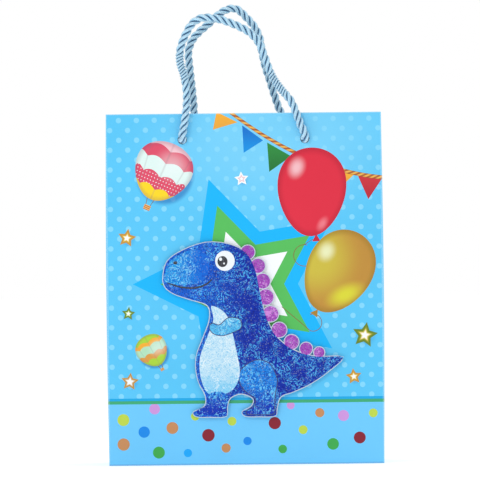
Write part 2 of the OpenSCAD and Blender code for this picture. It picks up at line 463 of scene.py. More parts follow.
CHIPS = {name: srgb(*chip) for name, chip in {
    "pink": (207, 150, 220), "yellow": (192, 215, 74), "blue": (8, 138, 232), "orange": (201, 140, 90),
    "wine": (138, 28, 46), "green": (62, 170, 76), "sky blue": (7, 168, 246), "white": (248, 252, 255),
    "red": (222, 42, 66), "deep red": (172, 20, 48), "star blue": (2, 182, 250),
    "star green": (86, 190, 92), "amber": (246, 176, 52), "flag dark": (20, 92, 44),
    "flag blue": (10, 112, 204), "flag green": (44, 140, 62), "flag red": (204, 52, 62),
    "gold": (196, 146, 62), "gold light": (206, 190, 66), "gold dark": (192, 142, 58),
    "string": (130, 92, 60), "shade": (40, 120, 190), "rose": (222, 78, 106), "blush": (242, 196, 206),
    "lemon": (250, 216, 34), "pale": (222, 244, 240), "lime": (172, 214, 60), "basket": (196, 112, 50),
    "moss": (104, 132, 40), "mint": (178, 226, 190), "rust": (222, 158, 70),
}.items()}

# Large dots on the band: colour, x, z, radius
CONFETTI = [
    ("pink", -60, 37, 3.5), ("yellow", 83, 33, 2.9), ("orange", 48, 33.5, 3.0), ("pink", 63.5, 31.5, 3.6),
    ("yellow", -80.5, 30, 3.9), ("wine", 18.5, 27, 4.0), ("orange", -48.5, 24.5, 3.9),
    ("yellow", 37, 22.5, 2.9), ("blue", -67, 22, 3.7), ("wine", -25, 19.5, 4.1), ("wine", 74, 17, 3.9),
    ("blue", 0.5, 15.5, 2.7), ("green", 56.5, 13, 3.8), ("orange", -80.5, 14, 4.0),
    ("orange", -13.5, 11, 3.0), ("green", 23.5, 10, 2.8), ("green", -57.5, 8.5, 3.9),
    ("sky blue", -38.5, 8, 2.7), ("pink", 29, 38.5, 2.6), ("yellow", -33.5, 32, 2.8),
    ("yellow", -9.5, 28.5, 2.9),
]

# Flags under the rope: colour, colour lower down, then the corners as (x, z), against the clock
FLAGS = [
    ("amber", "rust", (-17.5, 231), (-20, 219.3), (-3.8, 224)),
    ("flag blue", "sky blue", (-0.8, 222), (0, 204), (12.8, 212)),
    ("flag green", "flag dark", (15.4, 210.6), (16.6, 191.4), (31, 201.5)),
    ("amber", "rust", (64, 191), (65, 182.6), (72, 189)),
    ("flag red", "deep red", (74.7, 188), (81.2, 172.8), (90.5, 186.5)),
]

# Small stars: rim colour, inner colour, x, z, radius, turn in degrees
SMALL_STARS = [
    ("gold", "lemon", -77, 149, 6.2, 80), ("white", "rose", -1.6, 187, 4.8, 95),
    ("moss", "lime", -76.5, 99.5, 4.6, 84), ("gold", "white", -76, 55, 6.0, 84),
    ("moss", "lemon", 78, 84, 8.6, 80), ("gold", "lemon", 70.5, 57, 5.4, 96),
]

# The big star behind the figure: colour and radius of each layer, then its place and turn in degrees
BIG_STAR = [("star blue", 72.0), ("star green", 54.0), ("white", 36.0)]
BIG_STAR_PLACE = (-1.4, 118.2)
BIG_STAR_TURN = -36.4

# Curls of string: x, z, radius and the side that is drawn; then straight runs, from one end to the other
STRING_CURLS = [(39.0, 136.5, 7.0, -1), (44.3, 92.5, 5.6, 1)]
STRING_RUNS = [((44.5, 147), (39, 143.5)), ((42.3, 87.3), (24, 103))]


class Print(Net):
    """Paints on a wall whose places across and above the floor are x and z."""

    def __init__(self, net, x, z):
        super().__init__(net.tree)
        self.x = x
        self.z = z

    def shape(self, tree, **values):
        return self.group(tree, X=self.x, Z=self.z, **values)

    def spot(self, x, z, half_width, half_height, turn=0.0, taper=0.0):
        """An ellipse or egg, turned by some degrees: its Value, U and V."""
        return self.shape(
            spot_group(), Centre_X=x, Centre_Z=z, Half_Width=half_width, Half_Height=half_height,
            Turn=math.radians(turn), Taper=taper)

    def star(self, x, z, radius, turn):
        """0 in the middle of a star, turned by some degrees, and 1 on its outline."""
        turn = math.radians(turn)
        return self.shape(star_group(), Centre_X=x, Centre_Z=z, Radius=radius, Turn=turn)["Value"]

    def flag(self, a, b, c):
        """1 inside a triangle whose corners run against the clock."""
        return self.shape(flag_group(), A_X=a[0], A_Z=a[1], B_X=b[0], B_Z=b[1], C_X=c[0], C_Z=c[1])["Mask"]

    def line(self, a, b, half):
        """1 less than half away from the straight line between a and b."""
        return self.below(self.shape(line_group(), A_X=a[0], A_Z=a[1], B_X=b[0], B_Z=b[1])["Distance"], half)

    def inside(self, value):
        """1 inside a spot or a star."""
        return self.below(value, 1.0)

    def glow(self, under, spot, chip, strength, soft=0.1):
        """A soft highlight or shade over a spot: x, z, half width, half height and turn in degrees."""
        return self.mix(self.ramp(self.spot(*spot)["Value"], 1.0, soft, 0.0, strength), under, chip)


def paint_dots(art, base, dot):
    """Two lattices of dots, one half a pitch across and along from the other."""
    mask = 0.0
    for shift in (0.0, 0.5):
        offsets = []
        for value, start, pitch in ((art.x, DOT_START[0], DOT_PITCH_X), (art.z, DOT_START[1], DOT_PITCH_Z)):
            cell = art.linear(value, 1 / pitch, CELLS_AHEAD + shift - start / pitch)
            offsets.append(art.times(art.minus(art.math("FRACT", cell), 0.5), pitch))
        low, high = ((DOT_R + by) ** 2 for by in DOT_SOFT)
        mask = art.larger(mask, art.ramp(art.squares(*offsets), low, high))
    return art.mix(mask, base, dot)


def paint_band(art, under, paper):
    """The stripes and the strip along the bottom, with painted shade towards the floor where the wall turns
    under.
    """
    for top, tone in ((BLUE_TOP, paper.stripe_blue), (GREEN_TOP, paper.stripe_green), (BAND_TOP, paper.band)):
        under = art.mix(art.below(art.z, top), under, tuple(tone))
    # Painted shade: the last 1.4 mm above the floor darken towards the shade colour, for the fold under the
    # bag
    return art.mix(art.ramp(art.z, 1.4, 0.3, 0.0, 0.55), under, CHIPS["shade"])


def paint_confetti(art, under):
    for chip, x, z, r in CONFETTI:
        mask = art.times(art.inside(art.spot(x, z, r, r)["Value"]), art.below(art.z, BAND_TOP))
        under = art.mix(mask, under, CHIPS[chip])
    return under


def paint_big_star(art, under):
    for chip, r in BIG_STAR:
        layer = art.inside(art.star(*BIG_STAR_PLACE, r, BIG_STAR_TURN))
        under = art.mix(art.times(layer, art.above(art.z, BLUE_TOP)), under, CHIPS[chip])
    return under


def paint_small_stars(art, under):
    for rim, inner, x, z, r, turn in SMALL_STARS:
        shade = art.spot(x + 0.7, z - 0.8, r, r)["Value"]
        under = art.mix(art.ramp(shade, 0.95, 0.35, 0.0, 0.3), under, CHIPS["shade"])
        value = art.star(x, z, r, turn)
        tone = art.mix(art.ramp(value, 0.25, 0.75), CHIPS[inner], CHIPS[rim])
        tone = art.mix(art.ramp(value, 0.55, 0.2), tone, CHIPS["white"])
        under = art.mix(art.inside(value), under, tone)
    return under


def rope_height(art):
    """The bunting's rope sags along a parabola."""
    height, slope, sag = ROPE_CURVE
    return art.plus(art.linear(art.x, slope, height), art.times(art.times(art.x, art.x), sag))


def paint_bunting(art, under):
    for chip, fallen, a, b, c in FLAGS:
        fall = art.ramp(art.z, b[1], a[1], 0.55, 0.0)
        under = art.mix(art.flag(a, b, c), under, art.mix(fall, CHIPS[chip], CHIPS[fallen]))
    off = art.minus(art.z, rope_height(art))
    inside = art.times(art.below(art.absolute(off), ROPE_HALF), art.above(art.x, ROPE_LEFT))
    lay = art.sine(art.plus(art.times(art.x, 1.5), art.times(off, -2.6)))
    tone = art.mix(art.ramp(lay, -0.4, 0.4), srgb(176, 96, 52), srgb(238, 182, 84))
    tone = art.mix(art.ramp(art.absolute(off), 0.7, 1.3, 0.0, 0.6), tone, srgb(110, 66, 40))
    return art.mix(inside, under, tone)


def paint_red_balloon(art, under):
    body = art.spot(44.2, 178.0, 22.2, 29.0, 3, 0.17)["Value"]
    tone = art.mix(art.ramp(body, 0.8, 1.0, 0.0, 0.5), CHIPS["red"], CHIPS["deep red"])
    tone = art.glow(tone, (34.5, 194, 7.0, 9.5, 22), srgb(250, 214, 220), 0.75)
    tone = art.glow(tone, (51, 157, 4.0, 7.0, 32), srgb(246, 150, 162), 0.6)
    knot = art.flag((46.9, 150.5), (44.2, 145.6), (49.6, 145.8))
    return art.mix(art.larger(art.inside(body), knot), under, tone)


def paint_gold_balloon(art, under):
    body = art.spot(61.2, 125.6, 21.6, 28.5, 29, 0.13)["Value"]
    tone = art.glow(CHIPS["gold dark"], (46, 136, 34, 32, 50), CHIPS["gold light"], 0.95, 0.25)
    tone = art.mix(art.ramp(body, 0.82, 1.0, 0.0, 0.55), tone, srgb(150, 116, 34))
    tone = art.glow(tone, (53.5, 139, 7.5, 9.0, 28), srgb(238, 242, 196), 0.9)
    tone = art.glow(tone, (65.5, 110.5, 17.0, 9.0, -24), srgb(222, 222, 54), 0.9)
    knot = art.flag((47.4, 101.0), (42.4, 99.0), (47.0, 95.8))
    return art.mix(art.larger(art.inside(body), knot), under, tone)


def paint_strings(art, under):
    """Thin strings that curl from the balloons' knots: arcs of circles and straight runs."""
    masks = []
    for x, z, r, side in STRING_CURLS:
        dx = art.minus(art.x, x)
        dz = art.minus(art.z, z)
        ring = art.below(art.absolute(art.minus(art.reach(dx, dz), r)), STRING_HALF)
        half = art.above(art.times(art.plus(dx, 2.0 * side), side), 0.0)
        masks.append(art.times(ring, half))
    masks += [art.line(a, b, STRING_HALF) for a, b in STRING_RUNS]
    for mask in masks:
        under = art.mix(mask, under, CHIPS["string"])
    return under


def paint_air_balloon(art, under, x, z, r, turn, bands, dotted=None):
    """A hot-air balloon: scalloped bands, a basket on thin ropes and a soft shade behind it. bands lists each
    band's lowest v and chip from the top down; dotted is the lowest and highest v of the tiny white dots."""
    shade = (x + 0.09 * r, z - 0.12 * r, r * 1.08, r * 1.12, turn)
    under = art.glow(under, shade, CHIPS["shade"], 0.75, 0.82)
    body = art.spot(x, z, r, r * 1.05, turn, 0.2)
    across = art.math("ARCSINE", art.smaller(art.larger(body["U"], -1.0), 1.0))
    swing = art.absolute(art.sine(art.times(across, 4.4)))
    level = art.linear(swing, -0.12, art.linear(body["U"], 0.03, body["V"]))
    tone = CHIPS[bands[-1][1]]
    for low, chip in reversed(bands[:-1]):
        tone = art.mix(art.above(level, low), tone, CHIPS[chip])
    if dotted:
        cells = [art.linear(value, 8.5, 50.0) for value in (body["U"], body["V"])]
        near = art.reach(*[art.minus(art.math("FRACT", cell), 0.5) for cell in cells])
        band = art.times(art.above(level, dotted[0]), art.below(level, dotted[1]))
        tone = art.mix(art.times(band, art.below(near, 0.15)), tone, CHIPS["white"])
    tone = art.glow(tone, (x + 0.35 * r, z + 0.2 * r, 0.8 * r, 0.7 * r, turn), CHIPS["white"], 0.35)
    tone = art.mix(art.ramp(swing, 0.25, 0.0, 0.0, 0.22), tone, (0.25, 0.16, 0.2, 1))
    tone = art.mix(art.ramp(body["Value"], 0.8, 1.0, 0.0, 0.3), tone, (0.15, 0.05, 0.12, 1))
    a = math.radians(turn)
    middle = Vector((x, z))
    down = Vector((-math.sin(a), -math.cos(a)))
    side = Vector((math.cos(a), -math.sin(a)))
    basket = middle + down * r * 1.36
    for share in (-1, 1):
        top = middle + down * r * 0.97 + side * share * r * 0.14
        foot = basket + side * share * r * 0.06
        under = art.mix(art.line(top, foot, 0.2), under, CHIPS["string"])
    box = art.spot(basket.x, basket.y, r * 0.12, r * 0.09, turn)
    square = art.larger(art.absolute(box["U"]), art.absolute(box["V"]))
    weave = art.ramp(art.sine(art.times(box["V"], 9.0)), -0.2, 0.4)
    under = art.mix(art.inside(square), under, art.mix(weave, CHIPS["basket"], srgb(236, 190, 120)))
    return art.mix(art.inside(body["Value"]), under, tone)


def laminate(net, tone):
    """The printed paper's satin finish over its picture."""
    satin = net.group(satin_group(), Colour=tone, Mottle=0.1)
    net.finish(Base_Color=satin["Colour"], Roughness=satin["Roughness"], Normal=satin["Normal"],
               Specular_IOR_Level=0.25, Coat_Weight=0.08, Coat_Roughness=0.2)


def wall_print(name, facing):
    """The picture on a wide wall. facing is 1 at the front and -1 at the back, where x runs the other way."""
    paper = bpy.context.scene.gift_bag_paper
    material, net = new_material(name)
    _, x, _, z = net.place()
    if facing < 0:
        x = net.times(x, -1.0)
    art = Print(net, x, z)
    tone = art.glow(tuple(paper.sky), (20.0, 215.0, 110.0, 70.0, 0), srgb(170, 232, 254), 0.28, 0.2)
    tone = paint_dots(art, tone, tuple(paper.sky_dot))
    tone = paint_band(art, tone, paper)
    for paint in (paint_confetti, paint_big_star, paint_small_stars, paint_bunting, paint_strings,
                  paint_red_balloon, paint_gold_balloon):
        tone = paint(art, tone)
    tone = paint_air_balloon(
        art, tone, -53.3, 192.2, 18.7, 24,
        [(0.7, "blush"), (0.28, "rose"), (-0.2, "pale"), (-0.66, "rose"), (-2, "lemon")], (-0.66, -0.2))
    tone = paint_air_balloon(
        art, tone, -61.2, 75.2, 10.2, -28,
        [(0.55, "lime"), (0.3, "amber"), (-0.2, "mint"), (-0.55, "rust"), (-2, "lime")])
    laminate(net, tone)
    return material


def side_print():
    """Dots, stripes and the strip, carried round onto the gussets."""
    paper = bpy.context.scene.gift_bag_paper
    material, net = new_material("printed_side")
    _, _, y, z = net.place()
    art = Print(net, y, z)
    tone = paint_dots(art, tuple(paper.sky), tuple(paper.sky_dot))
    laminate(net, paint_band(art, tone, paper))
    return material


def base_print():
    material, net = new_material("printed_base")
    laminate(net, tuple(bpy.context.scene.gift_bag_paper.band))
    return material


def fibre_material(name, chip, speck, specks):
    """Uncoated paper, board or foam."""
    material, net = new_material(name)
    fibre = net.group(fibre_group(), Colour=srgb(*chip), Speck=srgb(*speck), Specks=specks)
    net.finish(Base_Color=fibre["Colour"], Roughness=fibre["Roughness"], Normal=fibre["Normal"])
    return material


# ---------------------------------------------------------------- meshes

def add_object(name, data):
    made = bpy.data.objects.new(name, data)
    bpy.context.scene.collection.objects.link(made)
    return made


def finish_mesh(bm, name, *materials):
    """Turns a bmesh into an object at the origin."""
    mesh = bpy.data.meshes.new(name)
    bm.to_mesh(mesh)
    bm.free()
    for material in materials:
        mesh.materials.append(material)
    return add_object(name, mesh)


def paint_node(node, material):
    """Gives a CAD node that stays as it is its material."""
    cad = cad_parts[node]
    cad.data.materials.clear()
    cad.data.materials.append(material)


# ---------------------------------------------------------------- paper walls

# Edges that turn by more than this stay sharp
CREASE = math.radians(25)
# A face counts as looking one way when its normal goes this far along it
LOOKS = 0.9
# Corners closer than this, in metres, are one
SAME_PLACE = 1e-6


def bowed(place, wall, paper):
    """Where a point of a wall goes when the standing bag swells a little between floor and rim."""
    x, y, z = place
    swell = math.sin(math.pi * min(max(z / BAG_H, 0.0), 1.0))
    share = x / SIDE_X
    new_x = x + paper.bow_side * swell * share
    if wall == "side":
        fold = 1 - abs(y - MIDDLE_Y) / ((BACK_Y - FRONT_Y) / 2)
        new_x -= math.copysign(paper.bow_side, x) * swell * fold
    else:
        outwards = -1 if wall == "front" else 1
        y += outwards * paper.bow_out * swell * (1 - share * share)
    return Vector((new_x, y, z))


def cut_steps(bm, low, high, grid):
    """Cuts a mesh along planes, so that no part of it is longer than grid."""
    for axis in range(3):
        steps = int((high[axis] - low[axis]) / grid)
        for k in range(1, steps):
            point = Vector((0, 0, 0))
            point[axis] = low[axis] + (high[axis] - low[axis]) * k / steps
            normal = Vector((0, 0, 0))
            normal[axis] = 1
            parts = list(bm.verts) + list(bm.edges) + list(bm.faces)
            bmesh.ops.bisect_plane(bm, geom=parts, plane_co=point, plane_no=normal, dist=1e-7)


def wall_piece(node, wall, outward, materials):
    """A paper or card piece of a wall, with the outline of its CAD node, gently bowed. Faces that look
    outward get the first material and all others the second."""
    paper = bpy.context.scene.gift_bag_paper
    bm = bmesh.new()
    bm.from_mesh(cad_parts[node].data)
    bmesh.ops.remove_doubles(bm, verts=bm.verts, dist=SAME_PLACE)
    bmesh.ops.dissolve_limit(bm, angle_limit=0.01, verts=bm.verts, edges=bm.edges)
    cut_steps(bm, *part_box(node), paper.grid)
    bm.normal_update()
    for face in bm.faces:
        face.material_index = 0 if face.normal.dot(Vector(outward)) > LOOKS else 1
        face.smooth = True
    for edge in bm.edges:
        edge.smooth = edge.calc_face_angle(math.pi) < CREASE
    for vert in bm.verts:
        vert.co = bowed(vert.co, wall, paper)
    piece = finish_mesh(bm, node + "_sheet", *materials)
    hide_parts(node)
    return piece


class GIFTBAG_OT_paper(bpy.types.Operator):
    """Makes the printed walls, the turned-in rim, the stiffening cards, the seam and the base"""
    bl_idname = "giftbag.paper"
    bl_label = "Paper"

    def execute(self, context):
        white = fibre_material("paper_inside", (240, 243, 245), (208, 214, 220), 0.3)
        edge = fibre_material("paper_edge", (214, 232, 242), (160, 196, 220), 0.3)
        board = fibre_material("grey_board", (178, 174, 166), (120, 116, 108), 0.8)
        prints = {"front": wall_print("printed_front", 1), "back": wall_print("printed_back", -1)}
        side = side_print()
        base = base_print()
        forward, backward, left, right = (0, -1, 0), (0, 1, 0), (-1, 0, 0), (1, 0, 0)
        # Node, kind of wall, the way its first material faces, materials, body, slot
        plan = []
        for wall, out, back in (("front", forward, backward), ("back", backward, forward)):
            plan += [
                (wall + "_panel", wall, out, (prints[wall], edge), wall, "printed_paper"),
                (wall + "_hem", wall, back, (white, edge), wall, "paper_inside"),
                (wall + "_rim_board", wall, out, (board, board), wall, "grey_board"),
            ]
        for hand, out in (("left", left), ("right", right)):
            plan += [(f"{hand}_gusset_{half}", "side", out, (side, white), f"{hand}_{half}", "printed_paper")
                     for half in ("front", "back")]
        plan.append(("side_seam", "side", right, (white, edge), "left_back", "paper_inside"))
        plan += [(hand + "_corner_fold", "side", out, (side, white), "front", "printed_paper")
                 for hand, out in (("left", left), ("right", right))]
        for node, wall, outward, materials, body, slot in plan:
            piece = wall_piece(node, wall, outward, materials)
            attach(piece, body)
            if node.endswith("corner_fold"):
                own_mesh(piece)
        paint_node("base_front_flap", base)
        paint_node("base_back_flap", base)
        paint_node("base_side_flaps", white)
        paint_node("base_board", board)
        return {"FINISHED"}


# ---------------------------------------------------------------- cords

# The middle line of each handle above its holes, in millimetres: x, and height over the hole
FRONT_ROUTE = [
    (-38.5, 11), (-37, 23), (-37, 32), (-38.5, 42), (-41, 51), (-40.5, 60), (-37, 69), (-32.5, 76),
    (-26, 79.5), (-17.5, 79), (-9, 76.5), (-1, 73), (5.5, 69), (10.5, 63), (14, 54.5), (17, 46), (20.5, 38.5),
    (26, 31), (31, 25), (34.5, 17), (37.5, 8.5),
]
BACK_ROUTE = [
    (-36.5, 8), (-33, 18), (-33.5, 31), (-34.5, 41), (-35.5, 50.5), (-36, 60), (-33, 68), (-28, 73.5),
    (-21.5, 79), (-15.5, 84.5), (-9, 88), (-3, 87.5), (3, 82), (8, 76), (11.5, 68.5), (13, 59), (15, 49.5),
    (18, 40), (21, 30), (25, 19), (32, 8.5),
]

STRANDS = 3
SPLINE_STEPS = 12
# In a rib the strands turn faster and are thicker, by these shares
RIB_TWIST = 1.6
RIB_SWELL = 0.1
# Where the over-twisted stretches of the front handle are
FRONT_RIBS = [(0.2, 0.3), (0.74, 0.84)]
# How far the cord's ends reach past the wall's inner face, into the bag
TUCK = 0.2 * MM


def spline(points, closed=False):
    """Close points on a smooth curve through the given ones."""
    n = len(points)
    found = []
    for i in range(n if closed else n - 1):
        if closed:
            a, b, c, d = (points[(i + k) % n] for k in (-1, 0, 1, 2))
        else:
            a, b, c, d = points[max(i - 1, 0)], points[i], points[i + 1], points[min(i + 2, n - 1)]
        for step in range(SPLINE_STEPS):
            f = step / SPLINE_STEPS
            found.append(0.5 * (2 * b + (c - a) * f + (2 * a - 5 * b + 4 * c - d) * f * f
                                + (3 * b - a - 3 * c + d) * f * f * f))
    if not closed:
        found.append(points[-1])
    return found


def evenly(points, step):
    """The same line with its points step apart."""
    found = [points[0]]
    left = step
    for a, b in zip(points, points[1:]):
        run = (b - a).length
        while left < run:
            found.append(a.lerp(b, left / run))
            left += step
        left -= run
    return found


def tightness(share, ribs):
    """1 inside a rib, 0 away from it, with a short slope between."""
    tight = 0.0
    for first, last in ribs:
        middle, half = (first + last) / 2, (last - first) / 2
        tight = max(tight, min(1.0, (half - abs(share - middle)) / (half * 0.25)))
    return tight


def tube_faces(count, sides):
    """Faces of the strands: round each one, then its two ends."""
    def at(i, k, j):
        return (i * STRANDS + k) * sides + j % sides
    faces = []
    for k in range(STRANDS):
        for i in range(count - 1):
            for j in range(sides):
                faces.append((at(i, k, j), at(i, k, j + 1), at(i + 1, k, j + 1), at(i + 1, k, j)))
        faces.append(tuple(at(0, k, j) for j in reversed(range(sides))))
        faces.append(tuple(at(count - 1, k, j) for j in range(sides)))
    return faces


def twisted_cord(name, line, diameter, material, pitch, step, sides, ribs=()):
    """A cord of strands laid round each other along line. ribs are (start, end) shares of its length where
    the lay is shorter and the strands spread, as in a stretch that was over-twisted."""
    path = evenly(line, step)
    strand_r = diameter * 0.25
    centre_r = diameter / 2 - strand_r
    verts, uvs, depths = [], [], []
    side = Vector((0, 1, 0))
    turn = 0.0
    count = len(path)
    for i, place in enumerate(path):
        way = (path[min(i + 1, count - 1)] - path[max(i - 1, 0)]).normalized()
        side = (side - way * side.dot(way)).normalized()
        other = way.cross(side)
        tight = tightness(i / (count - 1), ribs)
        turn += 2 * math.pi * step / pitch * (1 + RIB_TWIST * tight)
        strand = strand_r * (1 + RIB_SWELL * tight)
        for k in range(STRANDS):
            angle = turn + 2 * math.pi * k / STRANDS
            middle = place + (side * math.cos(angle) + other * math.sin(angle)) * centre_r
            for j in range(sides):
                round_angle = angle + 2 * math.pi * j / sides
                offset = (side * math.cos(round_angle) + other * math.sin(round_angle)) * strand
                verts.append(middle + offset)
                uvs.append((i * step / MM, j / sides))
                # How far out from the cord's axis each point lies: the cord's material turns this into
                # painted shade in the grooves and a painted sheen on top
                depths.append(((middle + offset) - place).length / (diameter / 2))
    faces = tube_faces(count, sides)
    mesh = bpy.data.meshes.new(name)
    mesh.from_pydata(verts, [], faces)
    layer = mesh.uv_layers.new(name="strand")
    for loop in mesh.loops:
        layer.data[loop.index].uv = uvs[loop.vertex_index]
    mesh.attributes.new("depth", "FLOAT", "POINT").data.foreach_set("value", depths)
    mesh.polygons.foreach_set("use_smooth", [True] * len(faces))
    mesh.materials.append(material)
    bm = bmesh.new()
    bm.from_mesh(mesh)
    bmesh.ops.recalc_face_normals(bm, faces=bm.faces)
    bm.to_mesh(mesh)
    bm.free()
    return add_object(name, mesh), path


def cord_material():
    """Shiny yarn: dark in the grooves with painted shade, pale on the strands, with fine filaments along them
    and a painted sheen on their tops.
    """
    settings = bpy.context.scene.gift_bag_cord
    satin, groove_shade = tuple(settings.satin), tuple(settings.groove_shade)
    filaments = 7
    material, net = new_material("twisted_cord")
    depth = net.add("ShaderNodeAttribute", attribute_name="depth").outputs["Fac"]
    uv = net.add("ShaderNodeUVMap", uv_map="strand").outputs[0]
    around = net.node("ShaderNodeSeparateXYZ", {0: uv})[1]
    wander = net.times(net.noise(uv, 0.6), 5.0)
    thread = net.sine(net.plus(net.times(around, 2 * math.pi * filaments), wander))
    # Painted shade: deep between the strands the colour turns to the groove-shade colour, and the outer tops
    # keep the satin colour
    tone = net.mix(net.ramp(depth, 0.5, 0.92), groove_shade, satin)
    # Painted highlight: a near-white sheen along the filaments, only on the strands' outer tops
    shine = net.times(net.ramp(thread, -0.2, 1.0, 0.2, 0.85), net.ramp(depth, 0.78, 0.98))
    tone = net.mix(shine, tone, srgb(236, 248, 255))
    # Random duller patches, tinted towards the groove-shade colour
    dull = net.noise(net.place()[0], 0.5)
    tone = net.mix(net.ramp(dull, 0.5, 0.8, 0.0, 0.25), tone, groove_shade)
    net.finish(Base_Color=tone, Roughness=net.ramp(thread, -1.0, 1.0, 0.42, 0.28),
               Normal=net.bump(thread, 0.5, 0.12 * MM), Sheen_Weight=0.25, Specular_IOR_Level=0.7)
    return material


def wall_face(facing):
    """Where the outer face of the front wall, for -1, or of the back wall, for 1, is."""
    return FRONT_Y if facing < 0 else BACK_Y


def handle_line(route, facing):
    """The handle's whole line: in through one hole, over the loop and back through the other, in metres."""
    def put(x, out, up):
        return Vector((x, wall_face(facing) + facing * out, HOLE_Z + up))
    r = CORD_OUT
    bend = [(1, -PAPER - TUCK, 0), (1, 0.25 * r, -0.02 * r), (1, 0.82 * r, 0.3 * r), (0.995, r, 1.25 * r)]
    start = [put(-HOLE_X * share, out, up) for share, out, up in bend]
    loop = [put(x * MM, r, up * MM) for x, up in route]
    end = [put(HOLE_X * share, out, up) for share, out, up in reversed(bend)]
    return spline(start + loop + end)


def knot_line(x, facing):
    """A closed trefoil behind the wall."""
    size = KNOT_R * 0.30
    squat = 0.72
    steps = 60
    middle = Vector((x, wall_face(facing) - facing * (RIM_STACK + KNOT_R * 0.86), HOLE_Z))
    points = []
    for i in range(steps):
        t = 2 * math.pi * i / steps
        points.append(middle + Vector((
            size * (math.sin(t) + 2 * math.sin(2 * t)) * squat,
            facing * size * 1.05 * math.sin(3 * t),
            size * (math.cos(t) - 2 * math.cos(2 * t)) * squat)))
    return points + [points[0]]


class GIFTBAG_OT_cords(bpy.types.Operator):
    """Lays the two cord handles and their knots"""
    bl_idname = "giftbag.cords"
    bl_label = "Cords"

    def execute(self, context):
        settings = context.scene.gift_bag_cord
        material = cord_material()
        plan = [("front", -1, FRONT_ROUTE, FRONT_RIBS), ("back", 1, BACK_ROUTE, [])]
        for wall, facing, route, ribs in plan:
            piece, path = twisted_cord(
                wall + "_handle_cord", handle_line(route, facing), CORD_D, material, settings.pitch,
                settings.step, settings.strand_sides, ribs)
            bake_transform(piece)
            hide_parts(wall + "_cord")
            for name, x in (("left", -HOLE_X), ("right", HOLE_X)):
                self.knot(wall, name, x, facing, material)
        return {"FINISHED"}

    def knot(self, wall, name, x, facing, material):
        """The knot, its tail and the cord in the hole, as one piece."""
        settings = bpy.context.scene.gift_bag_cord
        node = f"{wall}_{name}_knot"
        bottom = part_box(node)[0].z
        thin = KNOT_R * 0.78
        sides = 8
        loop = knot_line(x, facing)
        deep = loop[0].y
        fall = spline([
            Vector((x, wall_face(facing) - facing * PAPER, HOLE_Z)), Vector((x, deep, HOLE_Z - 0.5 * MM)),
            Vector((x, deep - facing * 0.8 * MM, HOLE_Z - 5 * MM)), Vector((x + 0.6 * MM, deep, bottom))])
        lump, _ = twisted_cord(
            node + "_lump", loop, thin, material, settings.pitch * 0.5, settings.step * 0.8, sides)
        tail, _ = twisted_cord(
            node + "_tail", fall, thin * 1.15, material, settings.pitch * 0.8, settings.step, sides)
        with bpy.context.temp_override(active_object=lump, selected_editable_objects=[lump, tail]):
            bpy.ops.object.join()
        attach(lump, wall)
        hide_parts(node)


# ---------------------------------------------------------------- card figure

# Outlines drawn on the card, in millimetres: x across, z above the floor
BODY = [
    (-54, 124), (-51, 134), (-41, 141), (-26, 146), (-11, 145), (1, 139), (7, 128), (10, 114), (13, 100),
    (19, 86), (30, 76), (45, 71), (64, 70), (54, 60), (42, 52), (31, 47), (23, 44), (20.5, 37), (19, 31.5),
    (8, 31), (-1, 31.5), (-3, 35), (3, 38.5), (4, 43), (-3, 46), (-10, 43.5), (-12, 38), (-13, 31.5),
    (-24, 31), (-33, 31.5), (-35, 35), (-28, 38.5), (-27, 45), (-32, 56), (-33, 70), (-28, 84), (-24, 95),
    (-25, 104), (-36, 108), (-47, 112), (-53, 117),
]
PLATES = [
    (2, 139, 5), (8.5, 130, 5.2), (11.5, 120, 5.4), (13.5, 109.5, 5.6), (16.5, 98.5, 5.6), (22, 88, 5.4),
    (30, 80, 5.2), (39.5, 75.5, 4.6), (48, 73, 4),
]
BELLY = [
    (-22, 104), (-21, 95), (-25, 84), (-30, 70), (-29.5, 57), (-25, 47), (-16, 46), (-8, 50), (-4, 60),
    (-6, 74), (-9, 88), (-13, 99),
]
NEAR_LEG = [
    (-3, 62), (6, 68), (15, 66), (20, 56), (18.8, 46), (18.2, 38), (17.4, 33.4), (8, 32.9), (1, 33.2),
    (0.6, 35.3), (5.2, 38), (6, 43.5), (0.5, 47.5), (-4, 54),
]
FAR_LEG = [
    (-24.5, 46.5), (-25.8, 39.5), (-32, 36), (-31, 33.3), (-22, 32.9), (-14.6, 33.3), (-13.8, 39),
    (-12, 44.5), (-17, 48),
]
ARM = [
    (-4, 95), (-11, 96), (-17, 91.5), (-21.5, 92.5), (-23.5, 90), (-21, 86.2), (-15, 84.8), (-8, 87),
    (-3, 90),
]
SNOUT = [
    (-52.4, 123.5), (-49.6, 132.6), (-40.6, 139), (-31, 141.2), (-24, 136), (-24, 126), (-29, 119.5),
    (-40, 118.2), (-50, 119.2),
]
SMILE = [(-51, 119.5), (-42, 116.6), (-33, 116), (-26, 118), (-21.5, 121.5)]

# The silver line that the card shows round the drawing is this wide, and so is the dark one round the leg
MARGIN = 0.55
# The flakes lie this far in front of the drawing
FLAKE_LIFT = 0.06 * MM


def ellipse(x, z, w, h, steps=40):
    angles = [2 * math.pi * i / steps for i in range(steps)]
    return [Vector((x + w * math.cos(a), z + h * math.sin(a))) for a in angles]


def smooth(points, closed=True):
    """A dense, rounded line through the points of an outline."""
    return spline([Vector(p) for p in points], closed)


def inset(outline, by):
    """A dense closed outline moved inwards, whichever way round it runs."""
    area = sum(a.x * b.y - b.x * a.y for a, b in zip(outline, outline[1:] + outline[:1]))
    sign = 1 if area > 0 else -1
    found = []
    for i, place in enumerate(outline):
        along = (outline[(i + 1) % len(outline)] - outline[i - 1]).normalized()
        found.append(place + Vector((-along.y, along.x)) * by * sign)
    return found


def stroke(points, width):
    """A closed outline round a line, with tapered ends."""
    line = smooth(points, closed=False)
    last = len(line) - 1
    left, right = [], []
    for i, place in enumerate(line):
        along = (line[min(i + 1, last)] - line[max(i - 1, 0)]).normalized()
        taper = math.sin(math.pi * (0.06 + 0.88 * i / last)) ** 0.5
        across = Vector((-along.y, along.x)) * width / 2 * taper
        left.append(place + across)
        right.append(place - across)
    return left + right[::-1]


